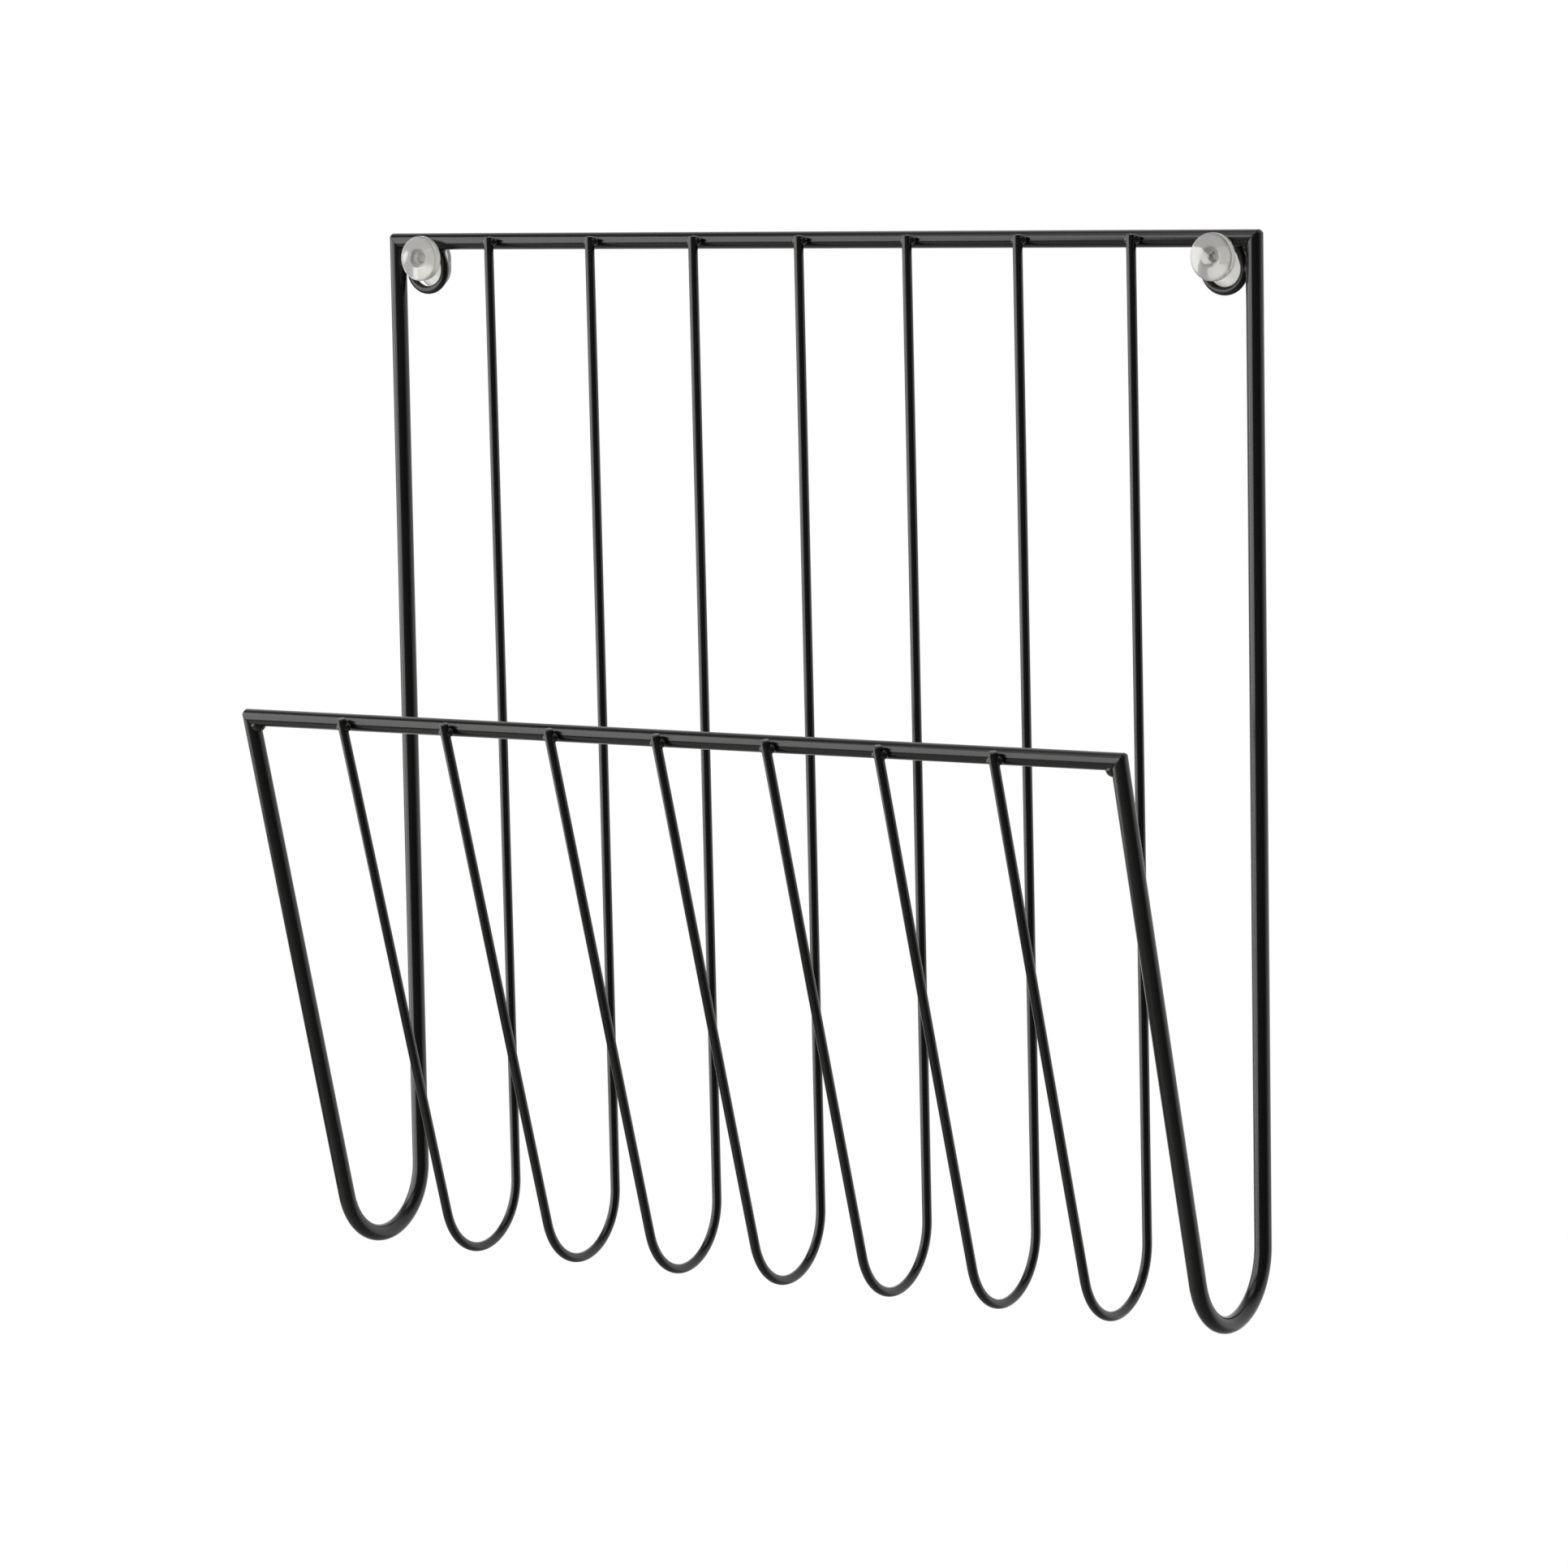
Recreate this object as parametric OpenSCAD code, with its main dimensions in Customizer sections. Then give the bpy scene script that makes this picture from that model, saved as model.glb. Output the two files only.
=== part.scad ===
// Wall magazine rack: a welded wire pocket that hangs by two corner eyes on clear wall bushes.
// Axes: +X to the viewer's right, +Y into the wall, +Z up.
// The origin lies on the wall, midway between the two screw holes.

/* [Frame] */
// Width of the rack, outside to outside
rack_w = 360; // [260:1:480]
// Height of the top rail above the lowest point of the bends, between centrelines
back_h = 362; // [280:1:460]
// Diameter of the side rods and of both rails
rod_d = 6; // [5:0.5:8]
// Bend radius of the side rods at the bottom, to the centreline
bend_r = 23; // [16:0.5:40]
// Lean of the pocket's front away from upright, in degrees
front_lean = 15; // [5:0.5:25]
// Straight length of the side rods from the bend to the front rail's centreline
front_leg = 186; // [120:1:240]
// Swelling of a bar's radius where it is bent
bend_swell = 0.02; // [0.01:0.01:0.05]
// Overlap of a bar's straight legs into its bend
bend_lap = 0.2; // [0.1:0.05:0.3]

/* [Wires] */
// Number of wires between the side rods
wire_count = 7; // [3:1:11]
// Diameter of the pocket wires
wire_d = 3.4; // [2.5:0.1:4]
// Reach of the wires past the top rail's centreline
top_reach = 1.7; // [1:0.1:3]
// Reach of the wires past the front rail's centreline
front_reach = 3.4; // [2:0.1:4.5]

/* [Hanging eyes] */
// Diameter of the wire that the eyes are bent from
eye_d = 3; // [2.5:0.1:3.5]
// Bend radius of the eyes, to the centreline
eye_bend_r = 7.6; // [7:0.1:11]
// Drop of the eyes' centre below the top rail's centreline
eye_drop = 10; // [9:0.1:14]
// Lean of the eyes' legs towards each other, in degrees
eye_splay = 20; // [10:1:25]

/* [Wall bushes] */
// Distance of the bushes from the middle of the eyes, towards the middle of the rack
bush_in = 1.2; // [0:0.1:1.4]
// Diameter of the bushes' front flange
flange_d = 16.2; // [14:0.1:20]
// Thickness of the flange
flange_t = 2.7; // [2.2:0.1:4]
// Chamfer on the flange's front rim
flange_chamfer = 0.7; // [0.3:0.1:1]
// Diameter of the neck that the rack hangs on
neck_d = 5.6; // [5:0.1:6.5]
// Diameter of the screw hole
screw_d = 3.6; // [3:0.1:4]
// Diameter of the countersink for the screw's head
sink_d = 7; // [6:0.1:8]
// Width of the clear spacer plates on the wall
plate_w = 13.2; // [12:0.1:18]
// Thickness of the spacer plates
plate_t = 2; // [1.5:0.1:4]

/* [Welds and clearances] */
// Gap between two welded bars, bridged by weld metal
weld_gap = 0.3; // [0.2:0.05:0.5]
// Clearance of the weld metal's modelled skin to the bars
weld_skin = 0.05; // [0.03:0.01:0.08]
// Radius of the weld beads where wires cross the rails
bead_r = 1.8; // [1.6:0.1:2.2]
// Length of those beads between their round ends
bead_mid = 2.8; // [1.6:0.1:3]
// Radius of the weld beads between the eyes and the side rods
eye_bead_r = 2; // [1.8:0.1:2.4]
// Radius of the weld beads inside the top corners
top_corner_r = 1.6; // [1.4:0.1:1.8]
// Radius of the weld beads inside the front corners
front_corner_r = 2.9; // [2.4:0.1:3.2]
// Depth dressed off the tips of the frame's mitred corners
tip_cut = 0.75; // [0.4:0.05:0.9]
// Width of the weld collars round the eyes' legs
collar_w = 0.7; // [0.5:0.1:0.9]
// Clearance between the rack and the fittings, in front and behind
run_gap = 0.3; // [0.2:0.05:0.6]
// Clearance over the necks with the rack at rest
hang_gap = 0.2; // [0.1:0.05:0.4]
// Radial clearance of the spacer plates' bore on the necks
bore_fit = 0.1; // [0.05:0.05:0.2]

/* [Hidden] */
$fn = 72;
rod_r = rod_d / 2;
wire_r = wire_d / 2;
eye_r = eye_d / 2;
neck_r = neck_d / 2;
screw_r = screw_d / 2;
plate_r = plate_w / 2;

// Frame's reference lines
half_w = rack_w / 2 - rod_r;
frame_y = -(plate_t + run_gap + rod_r);
rail_z = neck_r + hang_gap + rod_r;
low_z = rail_z - back_h;
bend_y = frame_y - bend_r;
bend_z = low_z + bend_r;
front_y = bend_y - bend_r * cos(front_lean) - front_leg * sin(front_lean);
front_z = bend_z - bend_r * sin(front_lean) + front_leg * cos(front_lean);
corner_block = 4 * rod_d;
tip_r = rod_r * sqrt(2) - tip_cut;

// Distance of the corner welds' centres from both bars' centrelines
top_corner_in = rod_r;
front_corner_in = 0.8 * rod_r;

// Wires are bent round the same former as the side rods and lie level with them underneath
wire_pitch = 2 * half_w / (wire_count + 1);
wire_bend_r = bend_r - rod_r + wire_r;
wire_bend_z = low_z - rod_r + wire_r + wire_bend_r;

// Their legs lean so that they lie on the outer face of both rails
wire_off = rod_r + weld_gap + wire_r;
to_top_rail = [frame_y - bend_y, rail_z - wire_bend_z];
to_front_rail = [front_y - bend_y, front_z - wire_bend_z];
top_aside = -wire_bend_r - wire_off;
front_aside = wire_bend_r - wire_off;
wire_back_lean = lean_past(to_top_rail, top_aside);
wire_front_lean = lean_past(to_front_rail, front_aside);
wire_back_leg = leg_past(to_top_rail, top_aside) + top_reach;
wire_front_leg = leg_past(to_front_rail, front_aside) + front_reach;

// Beads at the crossings stop a third of the wires' radius behind the wires' front
bead_off = wire_off + 2 * wire_r / 3 - bead_r;

// Eyes lie against the side rods, flush with the back of the frame
eye_back = rod_r - eye_r;
eye_touch = rod_r + weld_gap + eye_r;
eye_gap_x = sqrt(pow(eye_touch, 2) - pow(eye_back, 2));
eye_x = half_w - eye_gap_x - eye_bend_r;
eye_leg = (eye_drop - eye_bend_r * sin(eye_splay)) / cos(eye_splay);

// Bushes reach from the wall to the flange in front of the top rail
flange_back = plate_t + run_gap + rod_d + run_gap;
bush_len = flange_back + flange_t;
bush_x = eye_x - bush_in;
sink_depth = (sink_d - screw_d) / 2;
plate_drop = eye_drop - rail_z;

coat = [0.07, 0.07, 0.07];
clear = [0.8, 0.79, 0.76, 0.5];

// Lean and length of a leg from its bend to abreast of a rail; run leads from the bend's centre to the rail's,
// and the rail lies that far aside of the leg's parallel through the bend's centre
function lean_past(run, aside) = atan2(-run[0], run[1]) - asin(aside / norm(run));
function leg_past(run, aside) = sqrt(run * run - pow(aside, 2));
function wire_x(i) = i * wire_pitch - half_w;

module right_side() {
    mirror([1, 0, 0]) children();
}

module both_sides() {
    children();
    right_side() children();
}

module at_top_rail(lean = 0) {
    translate([0, frame_y, rail_z])
        rotate([lean, 0, 0])
            children();
}

module at_front_rail(lean = front_lean) {
    translate([0, front_y, front_z])
        rotate([lean, 0, 0])
            children();
}

module at_left_end() {
    translate([-half_w, 0, 0]) children();
}

module at_left_eye() {
    translate([-eye_x, frame_y + eye_back, rail_z - eye_drop]) children();
}

// Bar along X, centred on the origin
module cross_bar(bar_r, bar_len) {
    rotate([0, 90, 0]) cylinder(r = bar_r, h = bar_len, center = true);
}

// Straight leg of a bent bar, up from the end of the bend
module leg_bar(bar_r, leg) {
    translate([0, 0, -bend_lap]) cylinder(r = bar_r, h = leg + bend_lap);
}

// Bar bent once at the bottom; the back leg and the front leg each have a lean and a length
module bent_bar(bar_r, bar_bend_r, bar_bend_z, leans, legs) {
    translate([0, bend_y, bar_bend_z]) {
        rotate([leans[0], 0, 0]) {
            translate([0, bar_bend_r, 0]) leg_bar(bar_r, legs[0]);
            rotate([-90, 0, 90])
                rotate_extrude(angle = 180 + leans[0] - leans[1])
                    translate([bar_bend_r, 0])
                        circle(r = bar_r + bend_swell);
        }
        rotate([leans[1], 0, 0])
            translate([0, -bar_bend_r, 0])
                leg_bar(bar_r, legs[1]);
    }
}

// Block that cuts a bar's end along the mitre plane through the origin
module mitre_block(turn) {
    rotate([0, turn, 0])
        translate([-corner_block / 2, -corner_block / 2, 0])
            cube(corner_block);
}

// Block that dresses a corner's outer tip to a ball
module tip_block() {
    difference() {
        translate([-corner_block, -corner_block / 2, 0]) cube(corner_block);
        sphere(r = tip_r);
    }
}

module mitred_end(turn) {
    mitre_block(turn);
    tip_block();
}

module side_rod() {
    legs = [rail_z - bend_z + rod_r, front_leg + rod_r];
    color(coat) difference() {
        at_left_end() bent_bar(rod_r, bend_r, bend_z, [0, front_lean], legs);
        at_top_rail() at_left_end() mitred_end(45);
        at_front_rail() at_left_end() mitred_end(45);
    }
}

module rail() {
    color(coat) difference() {
        cross_bar(rod_r, rack_w);
        both_sides() at_left_end() mitred_end(-135);
    }
}

module top_rail() {
    at_top_rail() rail();
}

module front_rail() {
    at_front_rail() rail();
}

module pocket_wire(i) {
    leans = [wire_back_lean, wire_front_lean];
    legs = [wire_back_leg, wire_front_leg];
    color(coat)
        translate([wire_x(i), 0, 0])
            bent_bar(wire_r, wire_bend_r, wire_bend_z, leans, legs);
}

// Bend of an eye, round the bend's own centre; its section starts on the inner side
module eye_bend(bar_r, start, sweep) {
    rotate([90, 0, 0])
        rotate([0, 0, start])
            rotate_extrude(angle = sweep)
                translate([eye_bend_r, 0])
                    rotate(180)
                        circle(r = bar_r);
}

// Leg of an eye; side is -1 next to the side rod and 1 on the other side
module eye_leg_bar(bar_r, side) {
    translate([side * eye_bend_r * cos(eye_splay), 0, eye_bend_r * sin(eye_splay)])
        rotate([0, -side * eye_splay, 0])
            leg_bar(bar_r, eye_leg);
}

// Both legs are cut to sit under the top rail
module hanging_eye() {
    color(coat) difference() {
        at_left_eye() union() {
            eye_bend(eye_r + bend_swell, 180 - eye_splay, 180 + 2 * eye_splay);
            for (side = [-1, 1]) eye_leg_bar(eye_r, side);
        }
        at_top_rail() cross_bar(rod_r + weld_gap, rack_w);
    }
}

module wall_bush() {
    color(clear)
        translate([-bush_x, 0, 0])
            rotate([90, 0, 0])
                rotate_extrude()
                    polygon([
                        [screw_r, 0],
                        [neck_r, 0],
                        [neck_r, flange_back],
                        [flange_d / 2, flange_back],
                        [flange_d / 2, bush_len - flange_chamfer],
                        [flange_d / 2 - flange_chamfer, bush_len],
                        [sink_d / 2, bush_len],
                        [screw_r, bush_len - sink_depth]
                    ]);
}

// Round-ended plate that backs the eye from the neck down to the eye's bend
module spacer_plate() {
    color(clear)
        translate([-bush_x, 0, 0])
            rotate([90, 0, 0])
                difference() {
                    linear_extrude(height = plate_t) {
                        circle(r = plate_r);
                        translate([0, -plate_drop]) circle(r = plate_r);
                        translate([-plate_r, -plate_drop]) square([plate_w, plate_drop]);
                    }
                    translate([0, 0, -plate_t])
                        cylinder(r = neck_r + bore_fit, h = 3 * plate_t);
                }
}

// Weld between a rail along X and a wire that crosses its outer face
module crossing_weld() {
    difference() {
        translate([0, -bead_off, 0]) {
            cross_bar(bead_r, bead_mid);
            for (end = [-1, 1])
                translate([end * bead_mid / 2, 0, 0])
                    rotate([0, 90, 0])
                        sphere(r = bead_r);
        }
        cross_bar(rod_r + weld_skin, 4 * bead_r);
        translate([0, -wire_off, 0])
            cylinder(r = wire_r + weld_skin, h = 4 * bead_r, center = true);
    }
}

module wire_welds() {
    color(coat)
        for (i = [1:wire_count])
            translate([wire_x(i), 0, 0]) crossing_weld();
}

module top_rail_welds() {
    at_top_rail(wire_back_lean) wire_welds();
}

module front_rail_welds() {
    at_front_rail(wire_front_lean) wire_welds();
}

// Weld in the crook of a mitred corner
module corner_weld(weld_r, weld_in) {
    difference() {
        translate([weld_in, 0, -weld_in]) sphere(r = weld_r);
        cylinder(r = rod_r + weld_skin, h = corner_block, center = true);
        cross_bar(rod_r + weld_skin, corner_block);
    }
}

module corner_welds() {
    color(coat) both_sides() {
        at_top_rail() at_left_end() corner_weld(top_corner_r, top_corner_in);
        at_front_rail() at_left_end() corner_weld(front_corner_r, front_corner_in);
    }
}

// Collar round an eye's leg, under the top rail, dressed flush with the eye's back
module leg_collar(side) {
    collar_z = eye_drop - rod_r;
    collar_x = eye_bend_r * cos(eye_splay) - (collar_z - eye_bend_r * sin(eye_splay)) * tan(eye_splay);
    difference() {
        translate([side * collar_x, 0, collar_z]) sphere(r = eye_r + collar_w);
        eye_leg_bar(eye_r + weld_skin, side);
        translate([-corner_block / 2, eye_r, 0]) cube(corner_block);
    }
}

// Bead between an eye's bend and the side rod
module eye_side_weld() {
    bead_share = (rod_r + weld_gap / 2) / eye_touch;
    difference() {
        translate([
            bead_share * eye_gap_x - half_w,
            frame_y + bead_share * eye_back,
            rail_z - eye_drop
        ])
            rotate([0, 90, atan2(eye_back, eye_gap_x)])
                sphere(r = eye_bead_r);
        at_left_eye() eye_bend(eye_r + weld_skin, 0, 360);
        translate([-half_w, frame_y, rail_z - eye_drop])
            cylinder(r = rod_r + weld_skin, h = 4 * eye_bead_r, center = true);
    }
}

module eye_welds() {
    color(coat) both_sides() {
        difference() {
            at_left_eye() for (side = [-1, 1]) leg_collar(side);
            at_top_rail() cross_bar(rod_r + weld_skin, rack_w);
        }
        eye_side_weld();
    }
}

side_rod();  // left_side_rod
right_side() side_rod();  // right_side_rod
top_rail();
front_rail();
for (i = [1:wire_count])
    pocket_wire(i);
hanging_eye();  // left_hanging_eye
right_side() hanging_eye();  // right_hanging_eye
wall_bush();  // left_wall_bush
right_side() wall_bush();  // right_wall_bush
spacer_plate();  // left_spacer_plate
right_side() spacer_plate();  // right_spacer_plate
top_rail_welds();
front_rail_welds();
corner_welds();
eye_welds();
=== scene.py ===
"""Looks of a wall magazine rack: bent black rods and wires that hang on clear wall bushes."""

import math

import bmesh
import bpy
from bpy.props import FloatProperty, FloatVectorProperty, IntProperty, PointerProperty
from mathutils import Matrix, Vector


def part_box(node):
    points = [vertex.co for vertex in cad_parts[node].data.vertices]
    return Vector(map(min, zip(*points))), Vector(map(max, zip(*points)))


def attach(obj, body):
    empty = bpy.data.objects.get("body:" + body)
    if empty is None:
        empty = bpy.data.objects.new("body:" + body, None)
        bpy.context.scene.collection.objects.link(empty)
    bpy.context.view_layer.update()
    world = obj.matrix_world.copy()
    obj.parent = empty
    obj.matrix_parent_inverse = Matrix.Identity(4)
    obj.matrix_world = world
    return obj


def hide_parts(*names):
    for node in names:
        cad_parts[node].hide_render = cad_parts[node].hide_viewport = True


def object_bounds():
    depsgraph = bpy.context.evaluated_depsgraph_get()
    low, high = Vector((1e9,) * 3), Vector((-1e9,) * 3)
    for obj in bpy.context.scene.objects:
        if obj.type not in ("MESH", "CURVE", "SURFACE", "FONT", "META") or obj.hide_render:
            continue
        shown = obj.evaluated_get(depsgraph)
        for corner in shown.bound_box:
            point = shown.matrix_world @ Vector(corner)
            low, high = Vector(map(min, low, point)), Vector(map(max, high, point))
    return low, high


bl_info = {
    "name": "Wall magazine rack",
    "version": (1, 0, 0),
    "blender": (4, 5, 0),
    "location": "View3D > Sidebar > Rack",
    "description": "Builds a black wire magazine rack on clear wall bushes, with its stage and camera",
    "category": "Add Mesh",
}

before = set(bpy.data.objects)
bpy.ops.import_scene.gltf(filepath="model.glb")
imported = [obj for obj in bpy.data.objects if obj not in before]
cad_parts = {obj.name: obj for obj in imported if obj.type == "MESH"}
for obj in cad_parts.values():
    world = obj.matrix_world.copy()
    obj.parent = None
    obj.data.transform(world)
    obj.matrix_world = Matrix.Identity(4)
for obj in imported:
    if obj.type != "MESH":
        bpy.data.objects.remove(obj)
CAD_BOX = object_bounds()

MM = 0.001
RIGHT = Vector((1, 0, 0))
TO_WALL = Vector((0, 1, 0))
UP = Vector((0, 0, 1))
SIDES = {"left": -1, "right": 1}
RACK_BODY = "rack"
WALL_BODY = "wall_fittings"
COAT_SLOT = "black_powder_coat"
PLASTIC_SLOT = "clear_plastic"
SHARP_ANGLE = math.radians(50)
CUT_TOLERANCE = 0.001 * MM
EDGE_SEGMENTS = 3
RIM_SEGMENTS = 6
BEAD_TURNS = 28
BEAD_RINGS = 16
NOISE_MIDDLE = 0.5
WHITE = (1, 1, 1, 1)
MIX_FIRST_COLOUR = 6
MIX_SECOND_COLOUR = 7
MIX_COLOUR_RESULT = 2
WIRES = sorted(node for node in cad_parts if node.startswith("wire_"))


def node_centre(node):
    """Middle of a node's box."""
    low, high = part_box(node)
    return (low + high) / 2


TOP_RAIL = node_centre("top_rail")
FRONT_RAIL = node_centre("front_rail")
ROD_X = node_centre("right_side_rod").x
EYE_X = node_centre("right_hanging_eye").x
BUSH_X = node_centre("right_wall_bush").x
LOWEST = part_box("left_side_rod")[0].z


class RackSizes(bpy.types.PropertyGroup):
    """Sizes of the welded rack."""

    rod_diameter: FloatProperty(
        name="Rod diameter", description="Diameter of the side rods and rails",
        default=6 * MM, unit="LENGTH", precision=4)
    wire_diameter: FloatProperty(
        name="Wire diameter", description="Diameter of the pocket wires",
        default=3.4 * MM, unit="LENGTH", precision=4)
    bend_radius: FloatProperty(
        name="Bend radius", description="Bend radius of the side rods, to the centreline",
        default=23 * MM, unit="LENGTH", precision=4)
    front_lean: FloatProperty(
        name="Front lean", description="Lean of the pocket's front away from upright",
        default=math.radians(15), subtype="ANGLE")
    weld_gap: FloatProperty(
        name="Weld gap", description="Gap between two welded bars",
        default=0.3 * MM, unit="LENGTH", precision=5)
    top_reach: FloatProperty(
        name="Top reach", description="Reach of the wires past the top rail's centreline",
        default=1.7 * MM, unit="LENGTH", precision=4)
    front_reach: FloatProperty(
        name="Front reach", description="Reach of the wires past the front rail's centreline",
        default=3.4 * MM, unit="LENGTH", precision=4)
    eye_diameter: FloatProperty(
        name="Eye wire", description="Diameter of the wire that the eyes are bent from",
        default=3 * MM, unit="LENGTH", precision=4)
    eye_radius: FloatProperty(
        name="Eye radius", description="Bend radius of the hanging eyes, to the centreline",
        default=7.6 * MM, unit="LENGTH", precision=4)
    eye_drop: FloatProperty(
        name="Eye drop", description="Drop of the eyes' centre below the top rail's centreline",
        default=10 * MM, unit="LENGTH", precision=4)
    eye_splay: FloatProperty(
        name="Eye splay", description="Lean of an eye's legs towards each other",
        default=math.radians(20), subtype="ANGLE")
    bead_radius: FloatProperty(
        name="Bead radius", description="Radius of the welds where a wire crosses a rail",
        default=1.8 * MM, unit="LENGTH", precision=4)
    bead_half_length: FloatProperty(
        name="Bead half length", description="Half the length of the welds where a wire crosses a rail",
        default=3.2 * MM, unit="LENGTH", precision=4)
    eye_bead_radius: FloatProperty(
        name="Eye bead radius", description="Radius of the welds between the eyes and the side rods",
        default=2 * MM, unit="LENGTH", precision=4)
    top_corner_radius: FloatProperty(
        name="Top corner radius", description="Radius of the welds inside the top corners",
        default=1.6 * MM, unit="LENGTH", precision=4)
    front_corner_radius: FloatProperty(
        name="Front corner radius", description="Radius of the welds inside the front corners",
        default=2.9 * MM, unit="LENGTH", precision=4)
    front_corner_depth: FloatProperty(
        name="Front corner depth", description="Distance of the front welds from a corner, along both bars",
        default=2.4 * MM, unit="LENGTH", precision=4)
    collar_radius: FloatProperty(
        name="Collar radius", description="Radius of the welds round the eyes' legs",
        default=2.2 * MM, unit="LENGTH", precision=4)
    end_rounding: FloatProperty(
        name="End rounding", description="Rounding of the wires' and eyes' cut ends under the coat",
        default=0.45 * MM, unit="LENGTH", precision=5)
    tip_cut: FloatProperty(
        name="Tip cut", description="Depth dressed off the tips of the mitred corners",
        default=0.75 * MM, unit="LENGTH", precision=5)
    seam_rounding: FloatProperty(
        name="Seam rounding", description="Rounding of the mitred ends at the corner seams",
        default=0.18 * MM, unit="LENGTH", precision=5)
    rod_sides: IntProperty(
        name="Rod sides", description="Faces round a rod", default=48, min=12)
    wire_sides: IntProperty(
        name="Wire sides", description="Faces round a wire or an eye", default=32, min=12)
    bend_steps: IntProperty(
        name="Bend steps", description="Steps along a bend", default=48, min=8)


class FittingSizes(bpy.types.PropertyGroup):
    """Sizes of the clear wall fittings."""

    neck_diameter: FloatProperty(
        name="Neck diameter", description="Diameter of the neck that the rack hangs on",
        default=5.6 * MM, unit="LENGTH", precision=4)
    flange_thickness: FloatProperty(
        name="Flange thickness", description="Thickness of the front flange",
        default=2.7 * MM, unit="LENGTH", precision=4)
    flange_rounding: FloatProperty(
        name="Flange rounding", description="Rounding of the flange's front rim",
        default=0.9 * MM, unit="LENGTH", precision=4)
    edge_rounding: FloatProperty(
        name="Edge rounding", description="Rounding of the other moulded edges",
        default=0.25 * MM, unit="LENGTH", precision=5)
    screw_diameter: FloatProperty(
        name="Screw hole", description="Diameter of the screw hole",
        default=3.6 * MM, unit="LENGTH", precision=4)
    sink_diameter: FloatProperty(
        name="Countersink", description="Diameter of the countersink",
        default=7 * MM, unit="LENGTH", precision=4)
    bore_diameter: FloatProperty(
        name="Plate bore", description="Diameter of the spacer plate's bore",
        default=5.8 * MM, unit="LENGTH", precision=4)
    turns: IntProperty(
        name="Faces round", description="Faces round a fitting", default=96, min=24)


class Finishes(bpy.types.PropertyGroup):
    """Colours and textures of the two materials."""

    coat_colour: FloatVectorProperty(
        name="Coat", description="Colour of the powder coat",
        default=(0.0065, 0.0065, 0.006), subtype="COLOR")
    coat_drift_colour: FloatVectorProperty(
        name="Coat drift", description="Paler tone that the coat drifts to",
        default=(0.011, 0.011, 0.01), subtype="COLOR")
    coat_roughness: FloatProperty(
        name="Coat roughness", description="Roughness of the semi-gloss coat",
        default=0.2, min=0, max=1, subtype="FACTOR")
    peel_size: FloatProperty(
        name="Peel size", description="Size of the coat's orange-peel dimples",
        default=1.6 * MM, unit="LENGTH", precision=5)
    peel_depth: FloatProperty(
        name="Peel depth", description="Depth of the orange-peel dimples",
        default=0.006 * MM, unit="LENGTH", precision=6)
    drift_size: FloatProperty(
        name="Drift size", description="Size of the slow changes in tone and gloss",
        default=35 * MM, unit="LENGTH", precision=4)
    plastic_colour: FloatVectorProperty(
        name="Plastic", description="Tint of the clear plastic",
        default=(0.87, 0.86, 0.825), subtype="COLOR")
    plastic_roughness: FloatProperty(
        name="Plastic roughness", description="Roughness of the moulded faces",
        default=0.2, min=0, max=1, subtype="FACTOR")
    plastic_clearness: FloatProperty(
        name="Plastic clearness", description="Share of light that passes through the plastic",
        default=0.75, min=0, max=1, subtype="FACTOR")


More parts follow.
